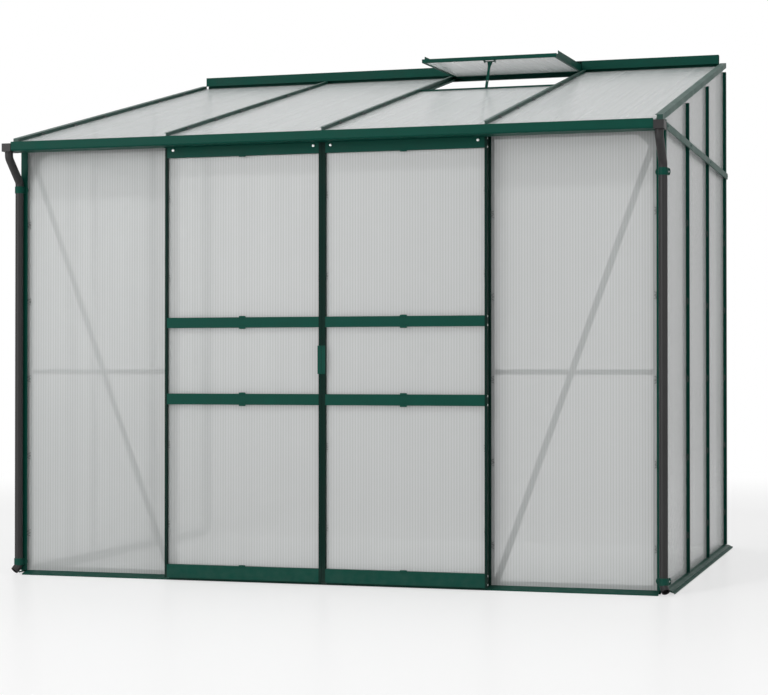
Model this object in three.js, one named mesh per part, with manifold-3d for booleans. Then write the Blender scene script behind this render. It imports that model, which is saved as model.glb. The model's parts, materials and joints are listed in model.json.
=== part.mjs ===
// Lean to greenhouse of extruded aluminium bars and twin wall sheet.
// Millimetres, +Z up. The doors face -Y and the open back meets the house wall at +Y.

import * as THREE from 'three';
import * as BufferGeometryUtils from 'three/addons/utils/BufferGeometryUtils.js';
import Module from 'manifold-3d';

const wasm = await Module();
wasm.setup();

// Grid of sheets and bars
const paneWidth = 610;
const paneGap = 10;
const paneThickness = 4;
const halfFrontBays = 2;
const sideBays = 3;
const cornerSetback = 20;
const clearance = 0.3;
const metalWall = 2;
const overrun = 10;

// Heights of the roof plane, which is the top face of the rafters
const eavesTop = 1706.5;
const roofRise = 464.5;

// Glazing bar section, seen from the end: outer lip, web, flange and bolt track
const paneDepth = 13;
const lipHalfWidth = 7;
const webHalfWidth = 2;
const flangeHalfWidth = 16;
const trackHalfWidth = 8;
const trackMouthHalfWidth = 3.5;
const trackDepth = 7.5;

// Corner post and wall post sections
const postStep = 8;
const postLipEnd = 32;
const postWebInner = 22;
const postFlangeEnd = 48;

// Base sill section
const sillReach = 25;
const sillLipHeight = 5;
const sillShoulder = 12;
const sillHeight = 15;
const sillUprightTop = 30;
const sillFootDepth = 13;
const sillEndInset = 24;

// End rafter section and the overhang of the sheets at the eaves
const rafterApron = 22;
const rafterLeg = 34;
const rafterInnerEnd = 36;
const eavesOverhang = 66;
const sheetSetback = 5;

// Eaves beam with its gutter and door track. The drops are measured down from the eaves line.
const gutterReach = 127;
const gutterTopDrop = 35;
const gutterBottomDrop = 70;
const gutterChamfer = 5;
const gutterLip = 7;
const gutterBack = 60;
const gutterEndInset = 24;
const beamUprightDrop = 72;
const trackEdge = 47;
const railCentre = 52.5;
const railHalfWidth = 1;
const railHeight = 2.2;

// Ridge bar with its hinge hook and the fascia in front of it
const ridgeRise = 34;
const ridgeEndInset = 31;
const ridgeSeat = 30;
const hingeSetback = 20;
const hingeRise = 7.5;
const hookRadius = 4;
const hookOpening = THREE.MathUtils.degToRad(37);
const hookSteps = 14;
const fasciaGap = 1.5;
const fasciaVentGap = 2;

// Side eaves rail
const sideRailReach = 6;
const sideRailDrop = 35;
const sideRailHeight = 25;
const sideRailWallGap = 7;

// Braces behind the outer front sheets
const braceRailBottom = 778;
const braceRailHeight = 19;
const braceWidth = 23;
const braceLowX = 36;
const braceLowZ = 24;
const braceHighX = 51;
const braceHighDrop = 116;
const gussetInner = 42;
const gussetOuter = 100;
const gussetTopDrop = 50;
const gussetMiddleDrop = 76;
const gussetBottomDrop = 112;
const gussetHeel = 64;

// Gutter outlet and downpipe
const outletLength = 36.7;
const outletWall = 3;
const outletLap = 2;
const outletTopDrop = 6;
const pipeRadius = 14.5;
const pipeSides = 20;
const pipeInset = 6;
const pipeFront = 17.5;
const outletFront = 105;
const spigotRadius = 11.5;
const spigotLength = 18;
const pipeSocketDepth = 20;
const neckDrop = 95;
const offsetDrop = 182;
const bendLength = 9;
const shoeTop = 34;
const shoeOut = 10;
const shoeForward = 16;
const shoeHeight = 16;
const bracketHeight = 26;
const lowBracketBottom = 37;
const highBracketDrop = 224;
const bracketTab = 30;
const bracketEar = 19;

// Doors
const doorGap = 0.5;
const doorLap = 5;
const doorFront = 55;
const doorPaneDepth = 15;
const doorBottom = 12;
const doorTopDrop = 70.6;
const innerStileWidth = 12.5;
const outerStileWidth = 9;
const grooveDepth = 6;
const railFlange = 10;
const lowerRailTop = 62;
const middleRails = [[665, 706], [953, 992]];
const upperRailDrop = 110;
const guideReach = 27.5;
const guideDrop = 8;
const hangerInset = 33;
const hangerHalfWidth = 15;
const hangerThickness = 3;
const hangerLap = 26;
const hangerTopMargin = 7;

// Door rollers
const rollerGroove = 9;
const rollerRim = 11;
const rollerWidth = 7;
const rollerGrooveHalf = 1.5;
const axleRadius = 2.5;
const roundSides = 24;

// Door handles
const handleBottom = 780;
const handleTop = 885;
const handleFoot = 11;
const handleWidth = 14.5;
const handleReach = 7;

// Roof vent, its sill and its stay
const ventBay = 1;
const ventSideGap = 12;
const ventLength = 590;
const ventOpen = THREE.MathUtils.degToRad(11.6);
const ventRailTop = 15;
const ventFrontTop = -1.5;
const ventRailSetback = 45;
const ventRailBottom = 17.5;
const ventFlange = 12;
const ventNeckStart = 8;
const ventNeckHalf = 1;
const ventSillGap = 4;
const ventSillTop = 7;
const ventSillLip = 12;
const ventSillLedge = 6;
const stayInset = 29;
const stayDrop = 21;
const stayLength = 285;
const stayWidth = 12;
const stayThickness = 3;
const stayHead = 24;
const stayRodHalf = 26;
const stayRodRadius = 2;
const stayHoleRadius = 2.6;
const stayHoleSides = 12;
const stayHolePitch = 36.6;
const stayHoleCount = 5;
const stayLean = THREE.MathUtils.degToRad(8.4);
const stayPeggedHole = 1;
const lugCentre = 23;
const lugThickness = 3;
const lugRadius = 6;
const lugArcSteps = 6;
const pegRadius = 2.2;
const pegLength = 2;

// Worked out from the sizes above
const panePitch = paneWidth + paneGap;
const ridgeTop = eavesTop + roofRise + ridgeRise;
const gutterTop = eavesTop - gutterTopDrop;
const gutterBottom = eavesTop - gutterBottomDrop;
const beamUprightBottom = eavesTop - beamUprightDrop;
const sideRailTop = eavesTop - sideRailDrop;
const sideRailBottom = sideRailTop - sideRailHeight;
const gussetTop = eavesTop - gussetTopDrop;
const gussetMiddle = eavesTop - gussetMiddleDrop;
const gussetBottom = eavesTop - gussetBottomDrop;
const doorTop = eavesTop - doorTopDrop;
const upperRailBottom = eavesTop - upperRailDrop;
const bracketBottoms = [lowBracketBottom, eavesTop - highBracketDrop];
const doorWidth = panePitch + doorLap;
const hangerPlaces = [doorGap + hangerInset, doorGap + doorWidth - hangerInset];
const ventHalfWidth = panePitch / 2 - ventSideGap;
const ventSillFace = ventLength + ventSillGap;
const stayAlong = ventLength - stayInset;
const houseHalf = halfFrontBays * panePitch + cornerSetback;
const houseDepth = sideBays * panePitch + 2 * cornerSetback;
const paneEdge = paneGap / 2;
const paneBack = paneDepth + paneThickness;
const flangeDepth = paneBack + clearance;
const flangeBack = flangeDepth + metalWall;
const barDepth = flangeBack + trackDepth;
const uprightFace = barDepth + clearance;
const uprightBack = uprightFace + metalWall;
const barFoot = sillHeight + clearance;
const coreFace = metalWall + clearance;
const roofAngle = Math.atan2(roofRise, houseDepth);
const roofCos = Math.cos(roofAngle);
const roofSin = Math.sin(roofAngle);
const roofTan = Math.tan(roofAngle);
const beamTopDepth = barDepth + clearance;
const beamUnderDepth = beamTopDepth + metalWall;
const frontTopDepth = beamUnderDepth + clearance;
const wallFace = houseDepth - metalWall;
const grooveFront = doorPaneDepth - clearance;
const railLipFront = doorPaneDepth + paneThickness + clearance;
const railLipBack = railLipFront + metalWall;
const trackTop = gutterBottom + metalWall;
const rollerHeight = trackTop + railHeight + clearance + rollerGroove;
const ventCentre = (ventBay - 0.5) * panePitch;
const hingeY = houseDepth - hingeSetback;
const hingeZ = roofHeight(hingeY, 0) + hingeRise;
const hingeAlong = hingeY * roofCos + (hingeZ - eavesTop) * roofSin;
const ventSlope = roofAngle - ventOpen;
const fasciaBack = hingeY - hookRadius - metalWall - fasciaGap;
const fasciaFront = fasciaBack - metalWall;
const fasciaBottom = roofHeight(fasciaBack, 0) + clearance;
const pegDepth = paneBack - pegRadius;
const pegTip = ventSillFace - ventSillLedge - pegLength;
const pegHeight = eavesTop + (hingeAlong - pegTip) * roofSin - pegDepth * roofCos;
const pivotHeight = hingeZ - stayAlong * Math.sin(ventSlope) - stayDrop * Math.cos(ventSlope);
const pegDrop = pivotHeight - pegHeight;
const outletFloor = gutterBottom - outletLap;
const outletFrontFace = gutterReach + outletLap;
const outletTop = gutterTop - outletTopDrop;
const pipeX = houseHalf - pipeInset;

// Directions that the profiles are laid along
const axisX = new THREE.Vector3(1, 0, 0);
const axisY = new THREE.Vector3(0, 1, 0);
const axisZ = new THREE.Vector3(0, 0, 1);
const roofUp = new THREE.Vector3(0, roofCos, roofSin);
const roofDown = roofUp.clone().negate();
const roofIn = new THREE.Vector3(0, roofSin, -roofCos);
const alongFront = { across: axisY, inward: axisZ, along: axisX };
const frontUpright = { across: axisX, inward: axisY, along: axisZ };
const upRoof = { across: axisX, inward: roofIn, along: roofUp };
const acrossRoof = { across: roofDown, inward: roofIn, along: axisX };

function inwardFrom(side) {
  return axisX.clone().multiplyScalar(-side);
}

function alongSide(side) {
  return { across: inwardFrom(side), inward: axisZ, along: axisY };
}

function sideUpright(side) {
  return { across: axisY, inward: inwardFrom(side), along: axisZ };
}

function cornerUpright(side) {
  return { across: inwardFrom(side), inward: axisY, along: axisZ };
}

function sideSheet(side) {
  return { across: axisY, inward: axisZ, along: inwardFrom(side) };
}

function upRoofEdge(side) {
  return { across: inwardFrom(side), inward: roofIn, along: roofUp };
}

// Height of the plane that lies a depth below the rafter tops, over a point of the floor
function roofHeight(y, depth) {
  return eavesTop + y * roofTan - depth / roofCos;
}

function sideName(side) {
  return side < 0 ? 'left' : 'right';
}

// Finishes
function greenMetal() {
  return new THREE.MeshStandardMaterial({ color: 0x1d4f40, roughness: 0.42, metalness: 0.15 });
}

function clearSheet() {
  return new THREE.MeshStandardMaterial({ color: 0xd5dadb, roughness: 0.35, metalness: 0 });
}

function blackPlastic() {
  return new THREE.MeshStandardMaterial({ color: 0x262827, roughness: 0.55, metalness: 0 });
}

function whiteNylon() {
  return new THREE.MeshStandardMaterial({ color: 0xd8d8d2, roughness: 0.5, metalness: 0 });
}

const model = new THREE.Group();

// Extrudes a profile of (u, v) points. The cuts shift an end along the extrusion by a rule of u and v.
function extrude(points, length, { holes = [], flip = 1, near = null, far = null, arcs = 12 } = {}) {
  const flat = ring => ring.map(([u, v]) => new THREE.Vector2(u, v));
  const outline = flat(points);
  if (THREE.ShapeUtils.isClockWise(outline)) outline.reverse();
  const shape = new THREE.Shape(outline);
  for (const hole of holes) shape.holes.push(new THREE.Path(flat(hole)));
  const settings = { depth: length, bevelEnabled: false, steps: 1, curveSegments: arcs };
  const geometry = new THREE.ExtrudeGeometry(shape, settings);
  const place = geometry.getAttribute('position');
  for (let i = 0; i < place.count; i += 1) {
    const cut = place.getZ(i) > length / 2 ? far : near;
    if (cut) place.setZ(i, place.getZ(i) + cut(place.getX(i), place.getY(i)));
  }
  return flip < 0 ? mirrored(geometry) : geometry;
}

// Mirrors a geometry in X and turns its triangles over again
function mirrored(geometry) {
  const copy = geometry.index ? geometry.toNonIndexed() : geometry;
  copy.scale(-1, 1, 1);
  const place = copy.getAttribute('position');
  const first = new THREE.Vector3();
  const second = new THREE.Vector3();
  for (let i = 0; i < place.count; i += 3) {
    first.fromBufferAttribute(place, i);
    second.fromBufferAttribute(place, i + 1);
    place.setXYZ(i, ...second.toArray());
    place.setXYZ(i + 1, ...first.toArray());
  }
  return copy;
}

function handOf({ across, inward, along }) {
  return Math.sign(across.clone().cross(inward).dot(along));
}

// Sets a mesh down so that its local u, v and length run along the given directions
function layAlong(mesh, start, directions) {
  const across = directions.across.clone().multiplyScalar(handOf(directions));
  const basis = new THREE.Matrix4().makeBasis(across, directions.inward, directions.along);
  mesh.quaternion.setFromRotationMatrix(basis);
  mesh.position.copy(start);
  return mesh;
}

function named(name, geometry, material, parent = model) {
  const mesh = new THREE.Mesh(geometry, material);
  mesh.name = name;
  parent.add(mesh);
  return mesh;
}

function profilePiece(name, material, points, length, start, directions, options = {}) {
  const geometry = extrude(points, length, { ...options, flip: handOf(directions) });
  return layAlong(named(name, geometry, material), start, directions);
}

// Joining and cutting of closed shapes
function solidOf(geometry) {
  const bare = new THREE.BufferGeometry();
  bare.setAttribute('position', geometry.getAttribute('position').clone());
  if (geometry.index) bare.setIndex(geometry.index.clone());
  const merged = BufferGeometryUtils.mergeVertices(bare);
  const vertProperties = Float32Array.from(merged.getAttribute('position').array);
  const triVerts = Uint32Array.from(merged.index.array);
  return new wasm.Manifold(new wasm.Mesh({ numProp: 3, vertProperties, triVerts }));
}

function geometryOf(solid) {
  const mesh = solid.getMesh();
  const geometry = new THREE.BufferGeometry();
  geometry.setAttribute('position', new THREE.BufferAttribute(new Float32Array(mesh.vertProperties), 3));
  geometry.setIndex(new THREE.BufferAttribute(new Uint32Array(mesh.triVerts), 1));
  geometry.computeVertexNormals();
  return geometry;
}

function joined(...solids) {
  return solids.reduce((whole, next) => whole.add(next));
}

// A box given by its low and high corners
function boxBetween(low, high) {
  const size = high.map((value, i) => value - low[i]);
  const middle = high.map((value, i) => (value + low[i]) / 2);
  const geometry = new THREE.BoxGeometry(...size);
  geometry.translate(...middle);
  return solidOf(geometry);
}

// The same box on the +X side or mirrored on the other
function mirroredBox(side, low, high) {
  if (side > 0) return boxBetween(low, high);
  return boxBetween([-high[0], low[1], low[2]], [-low[0], high[1], high[2]]);
}

// A round bar between two heights of one axis, which is X, Y or Z
function roundBar(radius, from, to, axis, centre) {
  const geometry = new THREE.CylinderGeometry(radius, radius, to - from, roundSides);
  if (axis === 'X') geometry.rotateZ(-Math.PI / 2);
  if (axis === 'Z') geometry.rotateX(Math.PI / 2);
  const middle = (from + to) / 2;
  const place = { X: [middle, ...centre], Y: [centre[0], middle, centre[1]], Z: [...centre, middle] }[axis];
  geometry.translate(...place);
  return solidOf(geometry);
}

function rectangle([lowU, lowV], [highU, highV]) {
  return [[lowU, lowV], [highU, lowV], [highU, highV], [lowU, highV]];
}

function arcPoints(centre, radius, from, to, steps) {
  const points = [];
  for (let i = 0; i <= steps; i += 1) {
    const angle = from + (to - from) * i / steps;
    points.push([centre[0] + radius * Math.cos(angle), centre[1] + radius * Math.sin(angle)]);
  }
  return points;
}

// Glazing bar: lip outside, flange behind the sheets and an open bolt track inside
function barProfile() {
  const rightHalf = [
    [lipHalfWidth, 0], [lipHalfWidth, metalWall], [webHalfWidth, metalWall], [webHalfWidth, flangeDepth],
    [flangeHalfWidth, flangeDepth], [flangeHalfWidth, flangeBack], [trackHalfWidth, flangeBack],
    [trackHalfWidth, barDepth], [trackMouthHalfWidth, barDepth], [trackMouthHalfWidth, barDepth - metalWall],
    [trackHalfWidth - metalWall, barDepth - metalWall], [trackHalfWidth - metalWall, flangeBack],
  ];
  const leftHalf = rightHalf.map(([u, v]) => [-u, v]).reverse();
  return [...rightHalf, ...leftHalf];
}

// Corner post: two lips, two flanges and a hollow core with a stepped outer corner
function cornerProfile() {
  const webOuter = postWebInner + metalWall;
  const outline = [
    [postStep, 0], [postLipEnd, 0], [postLipEnd, metalWall], [webOuter, metalWall], [webOuter, flangeDepth],
    [postFlangeEnd, flangeDepth], [postFlangeEnd, flangeBack], [webOuter, flangeBack],
    [webOuter, webOuter], [flangeBack, webOuter], [flangeBack, postFlangeEnd],
    [flangeDepth, postFlangeEnd], [flangeDepth, webOuter], [metalWall, webOuter],
    [metalWall, postLipEnd], [0, postLipEnd], [0, postStep], [postStep, postStep],
  ];
  const core = [
    [postStep + metalWall, coreFace], [postWebInner, coreFace], [postWebInner, postWebInner],
    [coreFace, postWebInner], [coreFace, postStep + metalWall], [postStep + metalWall, postStep + metalWall],
  ];
  return { outline, core };
}

// Wall post: half a glazing bar joined to a leg that lies flat on the wall
function wallPostProfile() {
  const legFace = cornerSetback - metalWall;
  const outline = [
    [-lipHalfWidth, 0], [cornerSetback, 0], [cornerSetback, postFlangeEnd], [legFace, postFlangeEnd],
    [legFace, flangeBack], [-flangeHalfWidth, flangeBack], [-flangeHalfWidth, flangeDepth],
    [-webHalfWidth, flangeDepth], [-webHalfWidth, metalWall], [-lipHalfWidth, metalWall],
  ];
  const coreEnd = legFace - clearance;
  const core = [
    [webHalfWidth, coreFace], [coreEnd, coreFace], [coreEnd, paneBack], [webHalfWidth, paneBack],
  ];
  return { outline, core };
}

// Base sill: sloped weathering, a ledge for the sheets, an upright behind the bars and a flat foot
function sillProfile() {
  const footEnd = uprightBack + sillFootDepth;
  return [
    [-sillReach, 0], [-sillReach, sillLipHeight], [sillShoulder, sillHeight], [uprightFace, sillHeight],
    [uprightFace, sillUprightTop], [uprightBack, sillUprightTop], [uprightBack, metalWall],
    [footEnd, metalWall], [footEnd, 0], [uprightFace, 0], [uprightFace, sillHeight - metalWall],
    [sillShoulder, sillHeight - metalWall], [metalWall - sillReach, sillLipHeight - metalWall],
    [metalWall - sillReach, 0],
  ];
}

// End rafter: an outer apron, a seat for the roof sheet and a leg behind the side sheets
function endRafterProfile() {
  const webOuter = cornerSetback - webHalfWidth;
  const webInner = cornerSetback + webHalfWidth;
  const outline = [
    [0, 0], [cornerSetback + lipHalfWidth, 0], [cornerSetback + lipHalfWidth, metalWall],
    [webInner, metalWall], [webInner, flangeDepth], [rafterInnerEnd, flangeDepth],
    [rafterInnerEnd, barDepth], [rafterInnerEnd - metalWall, barDepth],
    [rafterInnerEnd - metalWall, flangeBack], [flangeBack, flangeBack], [flangeBack, rafterLeg],
    [flangeDepth, rafterLeg], [flangeDepth, flangeBack], [metalWall, flangeBack], [metalWall, rafterApron],
    [0, rafterApron],
  ];
  const core = [
    [metalWall, coreFace], [webOuter, coreFace], [webOuter, paneBack], [metalWall, paneBack],
  ];
  return { outline, core };
}

// Base
function addSills() {
  const frontHalf = houseHalf - sillEndInset;
  const frontStart = new THREE.Vector3(-frontHalf, 0, 0);
  profilePiece('front_sill', greenMetal(), sillProfile(), 2 * frontHalf, frontStart, alongFront);
  const sideStart = uprightBack + sillFootDepth + clearance;
  const sideLength = wallFace - clearance - sideStart;
  for (const side of [-1, 1]) {
    const start = new THREE.Vector3(side * houseHalf, sideStart, 0);
    profilePiece(`${sideName(side)}_sill`, greenMetal(), sillProfile(), sideLength, start, alongSide(side));
  }
}

// Uprights
function addCornerPosts() {
  const { outline, core } = cornerProfile();
  const length = roofHeight(0, frontTopDepth) - barFoot;
  const far = (a, b) => b * roofTan;
  for (const side of [-1, 1]) {
    const start = new THREE.Vector3(side * houseHalf, 0, barFoot);
    const name = `${sideName(side)}_corner_post`;
    const options = { holes: [core], far };
    profilePiece(name, greenMetal(), outline, length, start, cornerUpright(side), options);
  }
}

function addDoorJambs() {
  const length = roofHeight(0, frontTopDepth) - barFoot;
  const far = (u, v) => v * roofTan;
  for (const side of [-1, 1]) {
    const start = new THREE.Vector3(side * panePitch, 0, barFoot);
    const name = `${sideName(side)}_door_jamb`;
    profilePiece(name, greenMetal(), barProfile(), length, start, frontUpright, { far });
  }
}

function addSideUprights() {
  const { outline, core } = wallPostProfile();
  for (const side of [-1, 1]) {
    for (let i = 1; i <= sideBays; i += 1) {
      const y = cornerSetback + i * panePitch;
      const top = roofHeight(y - flangeHalfWidth, rafterLeg) - clearance;
      const start = new THREE.Vector3(side * houseHalf, y, barFoot);
      const atWall = i === sideBays;
      const name = atWall ? `${sideName(side)}_wall_post` : `${sideName(side)}_side_bar_${i}`;
      const profile = atWall ? outline : barProfile();
      const holes = atWall ? [core] : [];
      profilePiece(name, greenMetal(), profile, top - barFoot, start, sideUpright(side), { holes });
    }
  }
}

// Rails
function addSideEavesRails() {
  const outer = -clearance - sideRailReach;
  const profile = [
    [outer, sideRailBottom], [-clearance, sideRailBottom], [-clearance, sideRailBottom + metalWall],
    [outer + metalWall, sideRailBottom + metalWall], [outer + metalWall, sideRailTop - metalWall],
    [-clearance, sideRailTop - metalWall], [-clearance, sideRailTop], [outer, sideRailTop],
  ];
  for (const side of [-1, 1]) {
    const start = new THREE.Vector3(side * houseHalf, 0, 0);
    const length = houseDepth - sideRailWallGap;
    profilePiece(`${sideName(side)}_side_eaves_rail`, greenMetal(), profile, length, start, alongSide(side));
  }
}

// Eaves beam: gutter trough in front, door track under it, and a slanted web under the rafters
function eavesProfile() {
  const back = metalWall - gutterBack;
  const innerChamfer = gutterChamfer - metalWall / 2;
  return [
    [-gutterReach, gutterTop], [gutterLip - gutterReach, gutterTop],
    [gutterLip - gutterReach, gutterTop - metalWall], [metalWall - gutterReach, gutterTop - metalWall],
    [metalWall - gutterReach, trackTop + innerChamfer], [metalWall - gutterReach + innerChamfer, trackTop],
    [-gutterBack, trackTop], [-gutterBack, gutterTop], [back, gutterTop],
    [back, roofHeight(back, beamTopDepth)], [uprightBack, roofHeight(uprightBack, beamTopDepth)],
    [uprightBack, beamUprightBottom], [uprightFace, beamUprightBottom],
    [uprightFace, roofHeight(uprightFace, beamUnderDepth)], [back, roofHeight(back, beamUnderDepth)],
    [back, trackTop], [-railCentre - railHalfWidth, trackTop],
    [-railCentre - railHalfWidth, trackTop + railHeight],
    [railHalfWidth - railCentre, trackTop + railHeight], [railHalfWidth - railCentre, trackTop],
    [-trackEdge, trackTop], [-trackEdge, gutterBottom], [gutterChamfer - gutterReach, gutterBottom],
    [-gutterReach, gutterBottom + gutterChamfer],
  ];
}

function addEavesBeam() {
  let beam = solidOf(extrude(eavesProfile(), 2 * houseHalf));
  const notchStart = postWebInner + metalWall + 2 * clearance;
  const notchLength = flangeBack + clearance;
  const low = gutterBottom - overrun;
  const high = ridgeTop;
  const ends = length => [[-overrun, length], [2 * houseHalf - length, 2 * houseHalf + overrun]];
  for (const [from, to] of ends(notchLength)) {
    beam = beam.subtract(boxBetween([notchStart, low, from], [uprightBack + overrun, high, to]));
  }
  for (const [from, to] of ends(gutterEndInset)) {
    beam = beam.subtract(boxBetween([-gutterReach - overrun, low, from], [-gutterBack, high, to]));
  }
  const start = new THREE.Vector3(-houseHalf, 0, 0);
  layAlong(named('eaves_gutter', geometryOf(beam), greenMetal()), start, alongFront);
}

// Ridge bar: a plate on the wall, a slanted seat under the rafters, a hook that carries the vent and
// a fascia that hangs in front of the hook down to the rafters
function ridgeProfile() {
  const outer = hookRadius + metalWall;
  const armTop = hingeZ + outer;
  const armBottom = armTop - metalWall;
  const centre = [hingeY, hingeZ];
  const tip = Math.PI - hookOpening;
  const armMeets = Math.asin((armBottom - hingeZ) / outer);
  return [
    [houseDepth, roofHeight(houseDepth, beamUnderDepth)], [houseDepth, ridgeTop],
    [fasciaFront, ridgeTop], [fasciaFront, fasciaBottom], [fasciaBack, fasciaBottom],
    [fasciaBack, ridgeTop - metalWall], [wallFace, ridgeTop - metalWall], [wallFace, armTop],
    ...arcPoints(centre, outer, Math.PI / 2, tip, hookSteps / 2),
    ...arcPoints(centre, hookRadius, tip, -tip, 2 * hookSteps),
    ...arcPoints(centre, outer, -tip, armMeets, 2 * hookSteps),
    [wallFace, armBottom], [wallFace, roofHeight(wallFace, beamTopDepth)],
    [houseDepth - ridgeSeat, roofHeight(houseDepth - ridgeSeat, beamTopDepth)],
    [houseDepth - ridgeSeat, roofHeight(houseDepth - ridgeSeat, beamUnderDepth)],
  ];
}

function addRidgeBar() {
  const half = houseHalf - ridgeEndInset;
  const ventMiddle = half + ventCentre;
  const ventReach = ventHalfWidth + fasciaVentGap;
  const opening = boxBetween(
    [fasciaFront - overrun, fasciaBottom - overrun, ventMiddle - ventReach],
    [fasciaBack + clearance, ridgeTop - metalWall, ventMiddle + ventReach],
  );
  const bar = solidOf(extrude(ridgeProfile(), 2 * half)).subtract(opening);
  const start = new THREE.Vector3(-half, 0, 0);
  layAlong(named('ridge_bar', geometryOf(bar), greenMetal()), start, alongFront);
}

// Rafters, cut plumb at both ends
const rafterLow = metalWall + clearance - gutterBack;
const rafterHigh = wallFace - clearance;

function onRoof(x, along) {
  return new THREE.Vector3(x, 0, eavesTop).addScaledVector(roofUp, along);
}

function addInnerRafters() {
  const plumb = (u, v) => -v * roofTan;
  const length = (rafterHigh - rafterLow) / roofCos;
  for (let i = 1 - halfFrontBays; i < halfFrontBays; i += 1) {
    const start = onRoof(i * panePitch, rafterLow / roofCos);
    const name = `inner_rafter_${i + halfFrontBays}`;
    profilePiece(name, greenMetal(), barProfile(), length, start, upRoof, { near: plumb, far: plumb });
  }
}

function addEndRafters() {
  const { outline, core } = endRafterProfile();
  const plumb = (u, v) => -v * roofTan;
  const length = (rafterHigh - rafterLow) / roofCos;
  const legStart = (postFlangeEnd + 2 * clearance - rafterLow) / roofCos;
  for (const side of [-1, 1]) {
    const directions = upRoofEdge(side);
    const flip = handOf(directions);
    const section = solidOf(extrude(outline, length, { holes: [core], flip, near: plumb, far: plumb }));
    const frontPlate = solidOf(extrude(outline, metalWall, { flip, near: plumb, far: plumb }));
    const low = [-postFlangeEnd, barDepth, -postFlangeEnd];
    const cut = boxBetween(low, [postFlangeEnd, 2 * rafterLeg, legStart]);
    const geometry = geometryOf(joined(section, frontPlate).subtract(cut));
    const start = onRoof(side * houseHalf, rafterLow / roofCos);
    layAlong(named(`${sideName(side)}_end_rafter`, geometry, greenMetal()), start, directions);
  }
}

// Braces behind the two outer front sheets
function addBraces() {
  const railLow = postWebInner + metalWall + 2 * clearance;
  const railHigh = cornerSetback + panePitch - trackHalfWidth - 2 * clearance;
  const railTop = braceRailBottom + braceRailHeight;
  const rail = rectangle([railLow, braceRailBottom], [railHigh, railTop]);
  for (const side of [-1, 1]) {
    const directions = { across: inwardFrom(side), inward: axisZ, along: axisY };
    const railStart = new THREE.Vector3(side * houseHalf, flangeBack + clearance, 0);
    profilePiece(`${sideName(side)}_brace_rail`, greenMetal(), rail, metalWall, railStart, directions);
    const flip = handOf(directions);
    const strip = solidOf(extrude(diagonalOutline(), metalWall, { flip }));
    const gusset = solidOf(extrude(gussetOutline(), metalWall, { flip }));
    const start = new THREE.Vector3(side * houseHalf, uprightBack + clearance, 0);
    const mesh = named(`${sideName(side)}_diagonal_brace`, geometryOf(joined(strip, gusset)), greenMetal());
    layAlong(mesh, start, directions);
  }
}

function diagonalOutline() {
  const low = new THREE.Vector2(cornerSetback + panePitch - braceLowX + flangeHalfWidth, braceLowZ);
  const high = new THREE.Vector2(braceHighX, eavesTop - braceHighDrop);
  const along = high.clone().sub(low).normalize();
  const side = new THREE.Vector2(-along.y, along.x).multiplyScalar(braceWidth / 2);
  const lowEnd = [low.clone().add(side), low.clone().sub(side)];
  const highEnd = [high.clone().sub(side), high.clone().add(side)];
  return [...lowEnd, ...highEnd].map(corner => [corner.x, corner.y]);
}

function gussetOutline() {
  return [
    [gussetInner, gussetBottom - braceWidth], [gussetInner, gussetTop], [gussetOuter, gussetTop],
    [gussetOuter, gussetMiddle], [gussetHeel, gussetBottom],
  ];
}

// Sheets of the walls
function addFrontSheets() {
  const top = roofHeight(paneDepth, frontTopDepth);
  const low = cornerSetback + paneEdge;
  const outline = rectangle([low, barFoot], [low + paneWidth, top]);
  for (const side of [-1, 1]) {
    const directions = { across: inwardFrom(side), inward: axisZ, along: axisY };
    const start = new THREE.Vector3(side * houseHalf, paneDepth, 0);
    profilePiece(`${sideName(side)}_front_sheet`, clearSheet(), outline, paneThickness, start, directions);
  }
}

function addSideSheets() {
  const topDepth = flangeBack + clearance;
  for (const side of [-1, 1]) {
    for (let i = 0; i < sideBays; i += 1) {
      const low = cornerSetback + i * panePitch + paneEdge;
      const high = low + paneWidth;
      const slope = [[high, roofHeight(high, topDepth)], [low, roofHeight(low, topDepth)]];
      const outline = [[low, barFoot], [high, barFoot], ...slope];
      const start = new THREE.Vector3(side * (houseHalf - paneDepth), 0, 0);
      const name = `${sideName(side)}_side_sheet_${i + 1}`;
      profilePiece(name, clearSheet(), outline, paneThickness, start, sideSheet(side));
    }
  }
}

// Sheets of the roof. The one below the vent stops at the vent sill.
function addRoofSheets() {
  const low = -eavesOverhang / roofCos;
  const fullHigh = (wallFace - sheetSetback) / roofCos;
  const ventHigh = hingeAlong - ventSillFace - metalWall - clearance;
  const profile = rectangle([paneEdge, paneDepth], [paneEdge + paneWidth, paneBack]);
  for (let i = -halfFrontBays; i < halfFrontBays; i += 1) {
    const high = i + 1 === ventBay ? ventHigh : fullHigh;
    const name = `roof_sheet_${i + halfFrontBays + 1}`;
    profilePiece(name, clearSheet(), profile, high - low, onRoof(i * panePitch, low), upRoof);
  }
}

// Outlet that closes each end of the gutter and feeds its downpipe
function addGutterOutlets() {
  const outerEnd = houseHalf - gutterEndInset + clearance + outletLength;
  const innerEnd = houseHalf - gutterEndInset + clearance;
  const back = -gutterBack - clearance;
  const floor = outletFloor;
  for (const side of [-1, 1]) {
    const shell = mirroredBox(side, [innerEnd, -outletFrontFace, floor], [outerEnd, back, outletTop]);
    const hollow = mirroredBox(
      side,
      [innerEnd - overrun, outletWall - outletFrontFace, floor + outletWall],
      [outerEnd - outletWall, back - outletWall, outletTop + overrun],
    );
    const centre = [side * pipeX, -outletFront];
    const mouth = floor - spigotLength;
    const spigot = roundBar(spigotRadius, mouth, floor + outletWall / 2, 'Z', centre);
    const bore = roundBar(spigotRadius - metalWall, mouth - overrun, floor + overrun, 'Z', centre);
    const solid = joined(shell.subtract(hollow), spigot).subtract(bore);
    named(`${sideName(side)}_gutter_outlet`, geometryOf(solid), blackPlastic());
  }
}

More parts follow.
